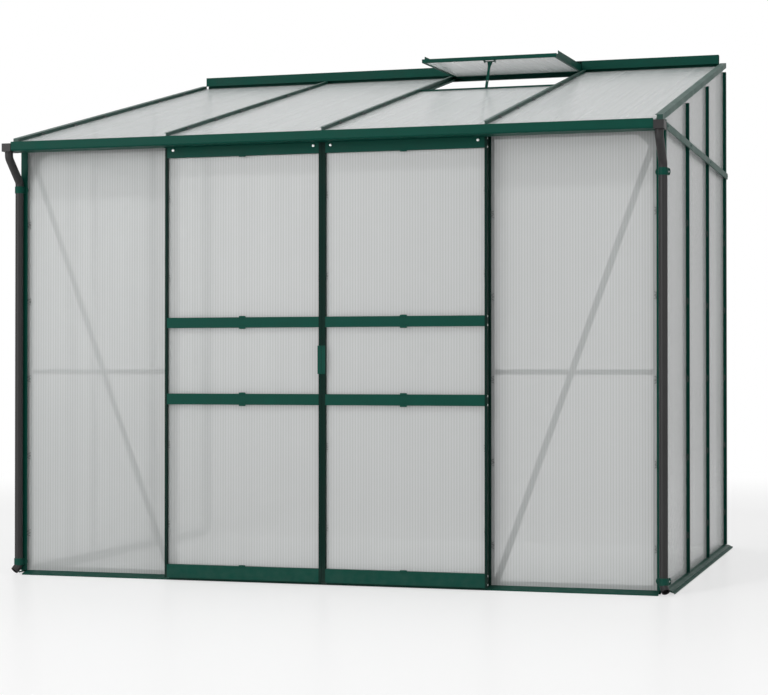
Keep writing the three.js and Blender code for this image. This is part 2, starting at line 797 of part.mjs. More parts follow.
// A round pipe of rings along a bent route, with a socket sunk in each end
function pipeGeometry(route, radius, sockets) {
  const rings = [];
  const count = route.length;
  for (let i = 0; i < count; i += 1) {
    const before = route[Math.max(i - 1, 0)];
    const after = route[Math.min(i + 1, count - 1)];
    rings.push({ centre: route[i], along: after.clone().sub(before).normalize(), radius });
  }
  const first = rings[0];
  const last = rings[count - 1];
  const sunk = ({ centre, along }, depth) => {
    return { centre: centre.clone().addScaledVector(along, depth), along, radius: sockets.innerRadius };
  };
  rings.unshift(sunk(first, 0));
  rings.unshift(sunk(first, sockets.topDepth));
  rings.push(sunk(last, 0));
  rings.push(sunk(last, -sockets.mouthDepth));
  const points = [];
  for (const ring of rings) {
    const sideways = new THREE.Vector3().crossVectors(ring.along, axisX).normalize();
    const other = new THREE.Vector3().crossVectors(ring.along, sideways);
    for (let k = 0; k < pipeSides; k += 1) {
      const angle = 2 * Math.PI * k / pipeSides;
      const point = ring.centre.clone();
      point.addScaledVector(sideways, ring.radius * Math.cos(angle));
      point.addScaledVector(other, ring.radius * Math.sin(angle));
      points.push(point.x, point.y, point.z);
    }
  }
  const index = [];
  for (let r = 0; r + 1 < rings.length; r += 1) {
    for (let k = 0; k < pipeSides; k += 1) {
      const next = (k + 1) % pipeSides;
      const a = r * pipeSides + k;
      const b = r * pipeSides + next;
      index.push(a, b, b + pipeSides, a, b + pipeSides, a + pipeSides);
    }
  }
  const startCentre = points.length / 3;
  points.push(...rings[0].centre.toArray());
  points.push(...rings[rings.length - 1].centre.toArray());
  const lastRing = (rings.length - 1) * pipeSides;
  for (let k = 0; k < pipeSides; k += 1) {
    const next = (k + 1) % pipeSides;
    index.push(startCentre, next, k);
    index.push(startCentre + 1, lastRing + k, lastRing + next);
  }
  const geometry = new THREE.BufferGeometry();
  geometry.setAttribute('position', new THREE.Float32BufferAttribute(points, 3));
  geometry.setIndex(index);
  return geometry;
}

// Rounds each inner corner of a route with three points
function roundedRoute(corners) {
  const route = [corners[0]];
  for (let i = 1; i + 1 < corners.length; i += 1) {
    const before = corners[i - 1].clone().sub(corners[i]).setLength(bendLength).add(corners[i]);
    const after = corners[i + 1].clone().sub(corners[i]).setLength(bendLength).add(corners[i]);
    const middle = before.clone().add(after).multiplyScalar(1 / 4).addScaledVector(corners[i], 1 / 2);
    route.push(before, middle, after);
  }
  route.push(corners[corners.length - 1]);
  return route;
}

function addDownpipes() {
  for (const side of [-1, 1]) {
    const x = side * pipeX;
    const corners = [
      new THREE.Vector3(x, -outletFront, outletFloor - clearance),
      new THREE.Vector3(x, -outletFront, eavesTop - neckDrop),
      new THREE.Vector3(x, -pipeFront, eavesTop - offsetDrop),
      new THREE.Vector3(x, -pipeFront, shoeTop),
      new THREE.Vector3(x + side * shoeOut, -pipeFront - shoeForward, shoeHeight),
    ];
    const sockets = {
      innerRadius: spigotRadius + 2 * clearance, topDepth: pipeSocketDepth, mouthDepth: metalWall,
    };
    let solid = solidOf(pipeGeometry(roundedRoute(corners), pipeRadius, sockets));
    for (const bottom of bracketBottoms) solid = joined(solid, bracketSolid(side, x, bottom));
    named(`${sideName(side)}_downpipe`, geometryOf(solid), blackPlastic());
  }
}

// Clip that holds the downpipe to the face of the corner post, with a screw ear outside
function bracketSolid(side, x, bottom) {
  const top = bottom + bracketHeight;
  const band = roundBar(pipeRadius + metalWall, bottom, top, 'Z', [x, -pipeFront]);
  const inner = side * (houseHalf - bracketTab);
  const outer = side * (houseHalf + bracketEar);
  const low = Math.min(inner, outer);
  const high = Math.max(inner, outer);
  const plate = boxBetween([low, -clearance - metalWall, bottom], [high, -clearance, top]);
  return joined(band, plate);
}

// Door frame: two stiles, four rails, a guide lip and two hanger plates with their axles. A stile is
// a hollow bar with a groove for the sheets behind its hollow.
function stileSolid(width, edge, flip) {
  const outline = [
    [0, 0], [width, 0], [width, grooveFront], [width - grooveDepth, grooveFront],
    [width - grooveDepth, railLipFront], [width, railLipFront], [width, railLipBack], [0, railLipBack],
  ];
  const core = rectangle([metalWall, metalWall], [width - metalWall, grooveFront - metalWall]);
  const geometry = extrude(outline, doorTop - doorBottom, { holes: [core], flip });
  geometry.translate(edge, -doorFront, doorBottom);
  return solidOf(geometry);
}

// Door rail between two heights: a front plate with its edges turned back, and a groove for a sheet
// behind each edge that is open
function railSolid(from, to, low, high, openBelow, openAbove) {
  const bar = ([front, back], heights) => {
    return boxBetween(
      [from, front - doorFront, Math.min(...heights)],
      [to, back - doorFront, Math.max(...heights)],
    );
  };
  const parts = [bar([0, metalWall], [low, high])];
  for (const [edge, inward, open] of [[low, 1, openBelow], [high, -1, openAbove]]) {
    const span = (start, end) => [edge + inward * start, edge + inward * end];
    const web = open ? grooveDepth : 0;
    const lip = open ? grooveDepth + metalWall : railFlange;
    parts.push(bar([0, grooveFront], span(0, metalWall)));
    parts.push(bar([grooveFront - metalWall, grooveFront], span(0, web + metalWall)));
    parts.push(bar([grooveFront - metalWall, railLipBack], span(web, web + metalWall)));
    parts.push(bar([railLipFront, railLipBack], span(0, lip)));
  }
  return joined(...parts);
}

function doorFrameSolid() {
  const near = stileSolid(innerStileWidth, doorGap, 1);
  const far = stileSolid(outerStileWidth, doorGap + doorWidth, -1);
  const from = doorGap + innerStileWidth - metalWall / 2;
  const to = doorGap + doorWidth - outerStileWidth + metalWall / 2;
  const rails = [railSolid(from, to, doorBottom, lowerRailTop, false, true)];
  for (const [low, high] of middleRails) rails.push(railSolid(from, to, low, high, true, true));
  rails.push(railSolid(from, to, upperRailBottom, doorTop, true, false));
  const shelfTop = doorBottom + metalWall;
  const guideFront = -guideReach - metalWall;
  const shelf = boxBetween([from, metalWall - doorFront, doorBottom], [to, -guideReach, shelfTop]);
  const guide = boxBetween([from, guideFront, doorBottom - guideDrop], [to, -guideReach, shelfTop]);
  return joined(near, far, ...rails, shelf, guide, ...hangerSolids());
}

function hangerSolids() {
  const railBack = railLipBack - doorFront;
  const parts = [];
  for (const inset of hangerPlaces) {
    const low = inset - hangerHalfWidth;
    const high = inset + hangerHalfWidth;
    const back = railBack + hangerThickness;
    const top = rollerHeight + hangerTopMargin;
    const foot = boxBetween([low, railBack - metalWall / 2, doorTop - hangerLap], [high, back, doorTop]);
    const plate = boxBetween([low, railBack, doorTop - hangerLap], [high, back, top]);
    const axleFront = -railCentre - rollerWidth / 2;
    const axle = roundBar(axleRadius, axleFront, railBack + hangerThickness / 2, 'Y', [inset, rollerHeight]);
    parts.push(foot, plate, axle);
  }
  return parts;
}

// The doors are drawn on the +X side and mirrored for the other one
function onSide(side, geometry) {
  return side < 0 ? mirrored(geometry) : geometry;
}

function addDoors() {
  const frame = geometryOf(doorFrameSolid());
  const sheets = doorSheetSpans();
  for (const side of [-1, 1]) {
    const door = `${sideName(side)}_door`;
    named(`${door}_frame`, onSide(side, frame), greenMetal());
    for (const { label, low, high } of sheets) {
      const seat = grooveDepth - clearance;
      const from = doorGap + innerStileWidth - seat;
      const to = doorGap + doorWidth - outerStileWidth + seat;
      const front = doorPaneDepth - doorFront;
      const box = boxBetween([from, front, low], [to, front + paneThickness, high]);
      named(`${door}_${label}_sheet`, onSide(side, geometryOf(box)), clearSheet());
    }
    named(`${door}_handle`, onSide(side, geometryOf(handleSolid())), greenMetal());
    hangerPlaces.forEach((inset, i) => {
      const roller = named(`${door}_roller_${i + 1}`, rollerGeometry(), whiteNylon());
      roller.position.set(side * inset, -railCentre, rollerHeight);
    });
  }
}

// Heights of the three sheets of a door, set in the grooves of its rails
function doorSheetSpans() {
  const seat = grooveDepth - clearance;
  return [
    { label: 'lower', low: lowerRailTop - seat, high: middleRails[0][0] + seat },
    { label: 'middle', low: middleRails[0][1] - seat, high: middleRails[1][0] + seat },
    { label: 'upper', low: middleRails[1][1] - seat, high: upperRailBottom + seat },
  ];
}

// Grooved wheel that rides on the rib of the track and turns on the hanger's axle
function rollerGeometry() {
  const half = rollerWidth / 2;
  const bore = axleRadius + clearance;
  const flank = half - metalWall / 2;
  const profile = [
    [bore, -half], [rollerRim - metalWall, -half], [rollerRim, -flank], [rollerGroove, -rollerGrooveHalf],
    [rollerGroove, rollerGrooveHalf], [rollerRim, flank], [rollerRim - metalWall, half], [bore, half],
    [bore, -half],
  ];
  const points = profile.map(([radius, along]) => new THREE.Vector2(radius, along));
  return new THREE.LatheGeometry(points, roundSides);
}

// Edge pull: a channel with its back beside the seam of the doors, open to the fingers at the other side
function handleSolid() {
  const foot = -doorFront - clearance;
  const face = foot - handleReach;
  const web = doorGap + metalWall;
  const outline = [
    [doorGap, foot], [doorGap + handleFoot, foot], [doorGap + handleFoot, foot - metalWall],
    [web, foot - metalWall], [web, face + metalWall], [doorGap + handleWidth, face + metalWall],
    [doorGap + handleWidth, face], [doorGap, face],
  ];
  const geometry = extrude(outline, handleTop - handleBottom);
  geometry.translate(0, 0, handleBottom);
  return solidOf(geometry);
}

// Vent sill: the bar across the roof that the lower sheet ends at and the stay is pegged to
function addVentSill() {
  const face = ventSillFace;
  const lipTop = paneDepth - clearance - metalWall;
  const lipEnd = face + metalWall + ventSillLip;
  const profile = [
    [face, ventSillTop], [face + metalWall, ventSillTop], [face + metalWall, lipTop],
    [lipEnd, lipTop], [lipEnd, lipTop + metalWall], [face + metalWall, lipTop + metalWall],
    [face + metalWall, paneBack], [face - ventSillLedge, paneBack],
    [face - ventSillLedge, paneBack - metalWall], [face, paneBack - metalWall],
  ];
  const side = webHalfWidth + clearance;
  const length = panePitch - 2 * side;
  const bar = solidOf(extrude(profile, length));
  const pegTop = face - ventSillLedge + metalWall;
  const pegAcross = length / 2 - pegDrop * Math.tan(stayLean);
  const peg = roundBar(pegRadius, pegTip, pegTop, 'X', [pegDepth, pegAcross]);
  const start = onRoof((ventBay - 1) * panePitch + side, hingeAlong);
  layAlong(named('vent_sill', geometryOf(joined(bar, peg)), greenMetal()), start, acrossRoof);
}

// Vent, laid out flat about its hinge line and then turned to the angle that it rests at
function ventFrameSolid() {
  const low = -ventRailBottom;
  const ledge = low + metalWall;
  const flangeEnd = ventHalfWidth - ventFlange;
  const parts = [];
  for (const side of [-1, 1]) {
    const span = (inner, outer) => side < 0 ? [-outer, -inner] : [inner, outer];
    const web = span(ventHalfWidth - metalWall, ventHalfWidth);
    const seat = span(flangeEnd, ventHalfWidth);
    parts.push(boxBetween([web[0], -ventLength, low], [web[1], -ventNeckStart, ventFrontTop]));
    const deepStart = ventRailSetback - ventLength;
    parts.push(boxBetween([web[0], deepStart, low], [web[1], -ventNeckStart, ventRailTop]));
    parts.push(boxBetween([seat[0], -ventLength, low], [seat[1], -ventNeckStart, ledge]));
    const lug = extrude(lugOutline(), lugThickness, { holes: [lugHole()] });
    const lugX = side * lugCentre - lugThickness / 2;
    lug.applyMatrix4(new THREE.Matrix4().makeBasis(axisY, axisZ, axisX).setPosition(lugX, 0, 0));
    parts.push(solidOf(lug));
  }
  const inner = ventHalfWidth - metalWall / 2;
  parts.push(boxBetween([-inner, -ventLength, low], [inner, metalWall - ventLength, ventFrontTop]));
  parts.push(boxBetween([-inner, -ventLength, low], [inner, ventFlange + metalWall - ventLength, ledge]));
  parts.push(boxBetween([-inner, -ventNeckStart - metalWall, low], [inner, -ventNeckStart, metalWall]));
  parts.push(boxBetween([-inner, -ventNeckStart - ventFlange, low], [inner, -ventNeckStart, ledge]));
  parts.push(boxBetween([-inner, -ventNeckStart - metalWall / 2, -ventNeckHalf], [inner, 0, ventNeckHalf]));
  parts.push(roundBar(hookRadius - clearance, -inner, inner, 'X', [0, 0]));
  return joined(...parts);
}

// Ear under the front rail of the vent that the rod of the stay turns in, in (along, up)
function lugOutline() {
  const centre = [-stayAlong, -stayDrop];
  const railInner = metalWall - ventLength;
  return [
    [railInner, metalWall - ventRailBottom], [railInner, -ventRailBottom - metalWall],
    ...arcPoints(centre, lugRadius, -3 * Math.PI / 4, 0, lugArcSteps),
    [lugRadius - stayAlong, metalWall - ventRailBottom],
  ];
}

function lugHole() {
  const turn = 2 * Math.PI;
  const ring = arcPoints([-stayAlong, -stayDrop], stayRodRadius + clearance, 0, turn, roundSides);
  return ring.slice(0, roundSides);
}

function addVent() {
  const vent = new THREE.Group();
  vent.position.set(ventCentre, hingeY, hingeZ);
  vent.rotation.x = ventSlope;
  model.add(vent);
  named('vent_frame', geometryOf(ventFrameSolid()), greenMetal(), vent);
  const half = ventHalfWidth - metalWall - clearance;
  const low = metalWall - ventRailBottom + clearance;
  const sheet = boxBetween(
    [-half, metalWall + clearance - ventLength, low],
    [half, -ventNeckStart - metalWall - clearance, low + paneThickness],
  );
  named('vent_sheet', geometryOf(sheet), clearSheet(), vent);
  addVentStay(vent);
}

// Stay: a flat bar with peg holes that hangs from a rod through the two ears of the vent
function addVentStay(vent) {
  const half = stayWidth / 2;
  const outline = [
    [-half, -stayLength], [half, -stayLength], [half, -stayHead], [stayHead / 2, 0], [-stayHead / 2, 0],
    [-half, -stayHead],
  ];
  const holes = [];
  for (let i = 0; i < stayHoleCount; i += 1) {
    const depth = pegDrop / Math.cos(stayLean) + (i - stayPeggedHole) * stayHolePitch;
    const ring = arcPoints([0, -depth], stayHoleRadius, 0, 2 * Math.PI, stayHoleSides);
    holes.push(ring.slice(0, stayHoleSides));
  }
  const flat = extrude(outline, stayThickness, { holes, flip: -1 });
  const upright = new THREE.Matrix4().makeBasis(inwardFrom(1), axisZ, axisY);
  flat.applyMatrix4(upright.setPosition(0, -stayThickness / 2, 0));
  flat.rotateY(stayLean);
  const rod = roundBar(stayRodRadius, -stayRodHalf, stayRodHalf, 'X', [0, 0]);
  const stay = named('vent_stay', geometryOf(joined(solidOf(flat), rod)), greenMetal());
  vent.updateMatrixWorld();
  stay.position.copy(vent.localToWorld(new THREE.Vector3(0, -stayAlong, -stayDrop)));
}

addSills();
addCornerPosts();
addDoorJambs();
addSideUprights();
addSideEavesRails();
addEavesBeam();
addRidgeBar();
addInnerRafters();
addEndRafters();
addVentSill();
addBraces();
addFrontSheets();
addSideSheets();
addRoofSheets();
addGutterOutlets();
addDownpipes();
addDoors();
addVent();

// The origin lies on the floor under the middle of the whole object
const greenhouse = new THREE.Group();
model.position.y = -(houseDepth - outletFrontFace) / 2;
greenhouse.add(model);

export default greenhouse;
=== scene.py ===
# Lean to greenhouse: finishes, downpipes, fasteners, wire clips and the studio around the frame
import json
import math

import bmesh
import bpy
import numpy as np
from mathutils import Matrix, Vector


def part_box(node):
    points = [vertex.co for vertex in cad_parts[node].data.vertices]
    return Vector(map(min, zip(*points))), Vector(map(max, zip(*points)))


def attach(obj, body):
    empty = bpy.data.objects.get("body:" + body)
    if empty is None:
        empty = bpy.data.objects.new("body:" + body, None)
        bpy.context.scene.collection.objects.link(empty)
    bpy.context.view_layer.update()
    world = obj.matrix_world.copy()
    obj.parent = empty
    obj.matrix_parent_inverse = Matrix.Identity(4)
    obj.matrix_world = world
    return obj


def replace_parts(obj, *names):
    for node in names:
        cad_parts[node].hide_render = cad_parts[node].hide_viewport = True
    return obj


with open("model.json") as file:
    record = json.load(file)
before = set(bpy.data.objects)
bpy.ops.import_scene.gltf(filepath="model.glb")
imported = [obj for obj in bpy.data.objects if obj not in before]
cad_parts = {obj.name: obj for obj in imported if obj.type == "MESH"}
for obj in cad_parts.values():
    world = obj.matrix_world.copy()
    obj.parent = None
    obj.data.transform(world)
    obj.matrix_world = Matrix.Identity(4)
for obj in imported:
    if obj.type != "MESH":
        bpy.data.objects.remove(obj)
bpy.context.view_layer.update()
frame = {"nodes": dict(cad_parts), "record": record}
cadNodes = frame["nodes"]
mm = 0.001
print("frame loaded:", len(cadNodes), "nodes")


# Middle of a node's box along one axis
def middleOf(name, axis):
    return sum(corner[axis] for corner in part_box(name)) / 2


# Places that everything below is set out from, read off the frame but for the last two
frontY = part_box("left_corner_post")[0][1]              # outer face of the front
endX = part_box("right_corner_post")[1][0]               # outer face of the right end
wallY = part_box("left_wall_post")[1][1]                 # plane of the open back
baySize = middleOf("right_door_jamb", 0)
wallSetback = endX - 2 * baySize                       # end bar to corner, the same at the back
sideBarY = [middleOf("right_side_bar_" + n, 1) for n in "12"]
wallBarY = wallY - wallSetback
eavesTop = 1.7065                                      # rafter tops over the front's outer face
roofSlope = math.atan2(0.4645, 1.9)                    # rise and run of the rafters

cameraValues = {
    "place": (2.2366, -7.66665, 0.8002), "turn": (90.628, 0.0, 16.541),
    "lens": 90.02, "sensor": 36.0, "far": 200,
}


def makeCamera():
    v = cameraValues
    data = bpy.data.cameras.new("camera")
    data.lens = v["lens"]
    data.sensor_width = v["sensor"]
    data.sensor_fit = "HORIZONTAL"
    data.clip_end = v["far"]
    eye = bpy.data.objects.new("camera", data)
    eye.location = v["place"]
    eye.rotation_euler = [math.radians(a) for a in v["turn"]]
    bpy.context.scene.collection.objects.link(eye)
    bpy.context.scene.camera = eye


makeCamera()
print("camera set")


# Node helpers

def addNode(tree, kind, **settings):
    made = tree.nodes.new(kind)
    for name, value in settings.items():
        setattr(made, name, value)
    return made


# Joins an output to an input, or writes a plain value into it
def feed(tree, source, target):
    if isinstance(source, bpy.types.NodeSocket):
        tree.links.new(source, target)
    else:
        target.default_value = source


def mathNode(tree, operation, *values, clamp=False):
    made = addNode(tree, "ShaderNodeMath", operation=operation, use_clamp=clamp)
    for value, socket in zip(values, made.inputs):
        feed(tree, value, socket)
    return made.outputs[0]


def rangeNode(tree, value, fromLow, fromHigh, toLow, toHigh, smooth=False):
    kind = "SMOOTHSTEP" if smooth else "LINEAR"
    made = addNode(tree, "ShaderNodeMapRange", interpolation_type=kind)
    for source, socket in zip((value, fromLow, fromHigh, toLow, toHigh), made.inputs):
        feed(tree, source, socket)
    return made.outputs[0]


# The colour sockets of this node are inputs 6 and 7 and output 2
def mixColours(tree, factor, first, second):
    made = addNode(tree, "ShaderNodeMix", data_type="RGBA")
    feed(tree, factor, made.inputs[0])
    feed(tree, first, made.inputs[6])
    feed(tree, second, made.inputs[7])
    return made.outputs[2]


def noiseNode(tree, vector, scale, detail=2.0):
    made = addNode(tree, "ShaderNodeTexNoise")
    feed(tree, vector, made.inputs["Vector"])
    feed(tree, scale, made.inputs["Scale"])
    made.inputs["Detail"].default_value = detail
    return made.outputs[0]


def splitPlace(tree, place):
    made = addNode(tree, "ShaderNodeSeparateXYZ")
    feed(tree, place, made.inputs[0])
    return made.outputs


# Shader groups, which give masks and values alone

vectorKind = "NodeSocketVector"
floatKind = "NodeSocketFloat"

groupValues = {
    "broadShare": 0.006, "broadDetail": 4.0, "patchScale": 38.0, "patchDetail": 5.0,
    "patchFrom": (0.35, 0.7), "patchTo": (0.15, 1.0), "webFrom": (0.22, 0.40),
}


def newGroup(name, inputs, outputs):
    tree = bpy.data.node_groups.new(name, "ShaderNodeTree")
    for socket, kind in inputs:
        tree.interface.new_socket(name=socket, in_out="INPUT", socket_type=kind)
    for socket in outputs:
        tree.interface.new_socket(name=socket, in_out="OUTPUT", socket_type=floatKind)
    return tree, addNode(tree, "NodeGroupInput").outputs, addNode(tree, "NodeGroupOutput").inputs


# Height is fine noise for a bump, Tone a broad cloud that shifts the colour a little
def makeGrainGroup():
    v = groupValues
    inputs = [("Place", vectorKind), ("Scale", floatKind)]
    tree, given, out = newGroup("coatGrain", inputs, ["Height", "Tone"])
    feed(tree, noiseNode(tree, given["Place"], given["Scale"]), out["Height"])
    broad = mathNode(tree, "MULTIPLY", given["Scale"], v["broadShare"])
    feed(tree, noiseNode(tree, given["Place"], broad, v["broadDetail"]), out["Tone"])
    return tree


# Mask is 1 at the floor, falls to 0 at Reach above it, and is broken up by noise
def makeDustGroup():
    v = groupValues
    inputs = [("Place", vectorKind), ("Reach", floatKind)]
    tree, given, out = newGroup("lowDust", inputs, ["Mask"])
    height = splitPlace(tree, given["Place"])["Z"]
    low = rangeNode(tree, height, 0.0, given["Reach"], 1.0, 0.0, smooth=True)
    noise = noiseNode(tree, given["Place"], v["patchScale"], v["patchDetail"])
    patches = rangeNode(tree, noise, *v["patchFrom"], *v["patchTo"])
    feed(tree, mathNode(tree, "MULTIPLY", low, patches), out["Mask"])
    return tree


# Across is the place across the flutes. Web marks the thin walls between the cells by the distance
# from a cell's middle, Swell is the round of each cell, the cosine of pi times that distance, and
# Streak is a tone of its own for each cell, the same all along it.
def makeFluteGroup():
    inputs = [("Across", floatKind), ("Pitch", floatKind)]
    tree, given, out = newGroup("sheetFlutes", inputs, ["Web", "Swell", "Streak"])
    cell = mathNode(tree, "DIVIDE", given["Across"], given["Pitch"])
    share = mathNode(tree, "FRACT", cell)
    fromMiddle = mathNode(tree, "ABSOLUTE", mathNode(tree, "SUBTRACT", share, 0.5))
    web = rangeNode(tree, fromMiddle, *groupValues["webFrom"], 0.0, 1.0, smooth=True)
    feed(tree, web, out["Web"])
    arch = mathNode(tree, "MULTIPLY", fromMiddle, math.pi)
    feed(tree, mathNode(tree, "COSINE", arch), out["Swell"])
    perCell = addNode(tree, "ShaderNodeTexWhiteNoise", noise_dimensions="1D")
    feed(tree, mathNode(tree, "FLOOR", cell), perCell.inputs["W"])
    feed(tree, perCell.outputs["Value"], out["Streak"])
    return tree


coatGrain = makeGrainGroup()
lowDust = makeDustGroup()
sheetFlutes = makeFluteGroup()


def placeGroup(tree, group, **values):
    made = addNode(tree, "ShaderNodeGroup", node_tree=group)
    for name, value in values.items():
        feed(tree, value, made.inputs[name])
    return made.outputs


# A Principled material with its plain values set on the shader, and its Object coordinates
def newMaterial(name, sockets):
    material = bpy.data.materials.new(name)
    material.use_nodes = True
    tree = material.node_tree
    shader = tree.nodes["Principled BSDF"]
    for socket, value in sockets.items():
        shader.inputs[socket].default_value = value
    place = addNode(tree, "ShaderNodeTexCoord").outputs["Object"]
    return material, tree, shader, place


def addBump(tree, shader, height, strength, distance):
    bump = addNode(tree, "ShaderNodeBump")
    bump.inputs["Strength"].default_value = strength
    bump.inputs["Distance"].default_value = distance
    feed(tree, height, bump.inputs["Height"])
    feed(tree, bump.outputs[0], shader.inputs["Normal"])


# Finishes

# The part of the cloud's values that a roughness runs over
toneSpan = (0.3, 0.7)


# Roughness follows the cloud of the grain and the bump its fine noise. Gives the cloud.
def addGrain(tree, shader, place, v):
    grain = placeGroup(tree, coatGrain, Place=place, Scale=v["grainScale"])
    rough = rangeNode(tree, grain["Tone"], *toneSpan, *v["rough"])
    feed(tree, rough, shader.inputs["Roughness"])
    addBump(tree, shader, grain["Height"], v["bump"], v["bumpDepth"])
    return grain["Tone"]


coatValues = {
    "green": ((0.0010, 0.0440, 0.0305, 1), (0.0018, 0.0575, 0.0400, 1)),
    # The second pair of tones is the green darkened, painted shade for the door uprights
    "paintedShade": ((0.0006, 0.0115, 0.0080, 1), (0.0012, 0.0200, 0.0140, 1)),
    "shine": {"greenCoat": 0.10, "paintedShadeCoat": 0.08, "roofCoat": 0.5},
    "dust": (0.14, 0.16, 0.14, 1), "dustReach": 0.14, "dustAmount": 0.08,
    "grainScale": 2600.0, "rough": (0.42, 0.54), "bump": 0.12, "bumpDepth": 0.2 * mm,
}


# The colour runs between two tones with the cloud of the grain, with dust near the floor. The darker
# coat on the door uprights is painted shade: the shade of their channels is painted into its colour.
# The coat of the roof bars is glossier, so that they mirror the sky at a low angle.
def makeCoat(name, tones):
    v = coatValues
    material, tree, shader, place = newMaterial(name, {"Specular IOR Level": v["shine"][name]})
    cloud = addGrain(tree, shader, place, v)
    dust = placeGroup(tree, lowDust, Place=place, Reach=v["dustReach"])
    dusty = mathNode(tree, "MULTIPLY", dust["Mask"], v["dustAmount"])
    paint = mixColours(tree, cloud, *v[tones])
    feed(tree, mixColours(tree, dusty, paint, v["dust"]), shader.inputs["Base Color"])
    return material


# The wall tones are the sheet's own. The door and side tones are darker copies, painted shade, and
# the roof tones a lighter copy, painted light.
sheetValues = {
    "wall": {"cell": (0.735, 0.752, 0.747, 1), "line": (0.590, 0.600, 0.596, 1), "web": 0.60},
    "door": {"cell": (0.712, 0.728, 0.723, 1), "line": (0.565, 0.577, 0.572, 1), "web": 0.60},
    "side": {"cell": (0.645, 0.665, 0.662, 1), "line": (0.550, 0.562, 0.560, 1), "web": 0.50},
    "roof": {"cell": (0.795, 0.830, 0.826, 1), "line": (0.740, 0.768, 0.764, 1), "web": 0.20},
    "shader": {"Specular IOR Level": 0.3, "IOR": 1.45, "Transmission Weight": 0.40, "Alpha": 0.66},
    "pitch": 10.4 * mm, "streak": 0.12, "rough": (0.20, 0.26), "bump": 0.25, "swell": 0.1 * mm,
}


# Milky twin wall sheet: the colour goes from cell to line by the webs and the tone of each cell,
# the roughness follows that tone, and light scatters through
# The door and side kinds carry painted shade in their tones, and the roof kind painted light
def makeSheet(name, acrossAxis, kind):
    v = sheetValues
    look = v[kind]
    material, tree, shader, place = newMaterial(name, v["shader"])
    across = splitPlace(tree, place)[acrossAxis]
    flutes = placeGroup(tree, sheetFlutes, Across=across, Pitch=v["pitch"])
    streak = mathNode(tree, "MULTIPLY", flutes["Streak"], v["streak"])
    webs = mathNode(tree, "MULTIPLY", flutes["Web"], look["web"])
    amount = mathNode(tree, "ADD", streak, webs, clamp=True)
    colour = mixColours(tree, amount, look["cell"], look["line"])
    feed(tree, colour, shader.inputs["Base Color"])
    rough = rangeNode(tree, flutes["Streak"], 0, 1, *v["rough"])
    feed(tree, rough, shader.inputs["Roughness"])
    addBump(tree, shader, flutes["Swell"], v["bump"], v["swell"])
    return material


plainValues = {
    "blackPlastic": {
        "shader": {"Specular IOR Level": 0.3}, "rough": (0.36, 0.48), "bump": 0.15,
        "tones": ((0.016, 0.0155, 0.0158, 1), (0.027, 0.0262, 0.0266, 1)),
        "grainScale": 1800.0, "bumpDepth": 0.3 * mm,
    },
    "whiteNylon": {
        "shader": {"Specular IOR Level": 0.5}, "rough": (0.38, 0.50), "bump": 0.15,
        "tones": ((0.62, 0.62, 0.58, 1), (0.74, 0.74, 0.70, 1)),
        "grainScale": 1500.0, "bumpDepth": 0.3 * mm,
    },
    "springWire": {
        "shader": {"Specular IOR Level": 0.4}, "rough": (0.30, 0.42), "bump": 0.15,
        "tones": ((0.05, 0.054, 0.054, 1), (0.10, 0.105, 0.105, 1)),
        "grainScale": 4000.0, "bumpDepth": 0.3 * mm,
    },
    "zincPlate": {
        "shader": {"Metallic": 1.0}, "rough": (0.28, 0.42), "bump": 0.1,
        "tones": ((0.70, 0.71, 0.70, 1), (0.88, 0.89, 0.88, 1)),
        "grainScale": 5200.0, "bumpDepth": 0.1 * mm,
    },
}


# Plastic, wire and zinc: the colour runs between two tones with the cloud of the grain
def makePlain(name):
    v = plainValues[name]
    material, tree, shader, place = newMaterial(name, v["shader"])
    cloud = addGrain(tree, shader, place, v)
    feed(tree, mixColours(tree, cloud, *v["tones"]), shader.inputs["Base Color"])
    return material


finishes = {
    "greenCoat": makeCoat("greenCoat", "green"),
    "paintedShadeCoat": makeCoat("paintedShadeCoat", "paintedShade"),
    "roofCoat": makeCoat("roofCoat", "green"),
    "frontSheet": makeSheet("twinWallFront", "X", "wall"),
    "doorSheetPaintedShade": makeSheet("twinWallDoorPaintedShade", "X", "door"),
    "sideSheetPaintedShade": makeSheet("twinWallSidePaintedShade", "Y", "side"),
    "roofSheetPaintedLight": makeSheet("twinWallRoofPaintedLight", "X", "roof"),
    "blackPlastic": makePlain("blackPlastic"),
    "whiteNylon": makePlain("whiteNylon"),
    "zinc": makePlain("zincPlate"),
    "springWire": makePlain("springWire"),
}
print("finishes made:", len(finishes))

finishBySlot = {
    "green_metal": "greenCoat", "black_plastic": "blackPlastic", "white_nylon": "whiteNylon",
}


# Metal, plastic and nylon go by the slot, the sheets by where they are, with painted shade on door
# and side sheets and painted light on roof and vent sheets
def finishOf(name, slot):
    # Door jambs take the darker coat, whose colour is painted shade
    if name.endswith("_door_jamb"):
        return "paintedShadeCoat"
    if slot == "green_metal" and ("rafter" in name or "eaves_rail" in name):
        return "roofCoat"
    if slot in finishBySlot:
        return finishBySlot[slot]
    if name.startswith(("roof", "vent")):
        return "roofSheetPaintedLight"
    if "_side_" in name:
        return "sideSheetPaintedShade"
    return "doorSheetPaintedShade" if "_door_" in name else "frontSheet"


def dressFrame():
    slots = {entry["node"]: entry["material_slot"] for entry in frame["record"]["subparts"]}
    for name, node in cadNodes.items():
        finish = finishes[finishOf(name, slots[name])]
        if not node.material_slots:
            node.data.materials.append(finish)
        for slot in node.material_slots:
            slot.material = finish


stileWidths = {"inner": 12.5 * mm, "outer": 9 * mm, "slack": 0.2 * mm}


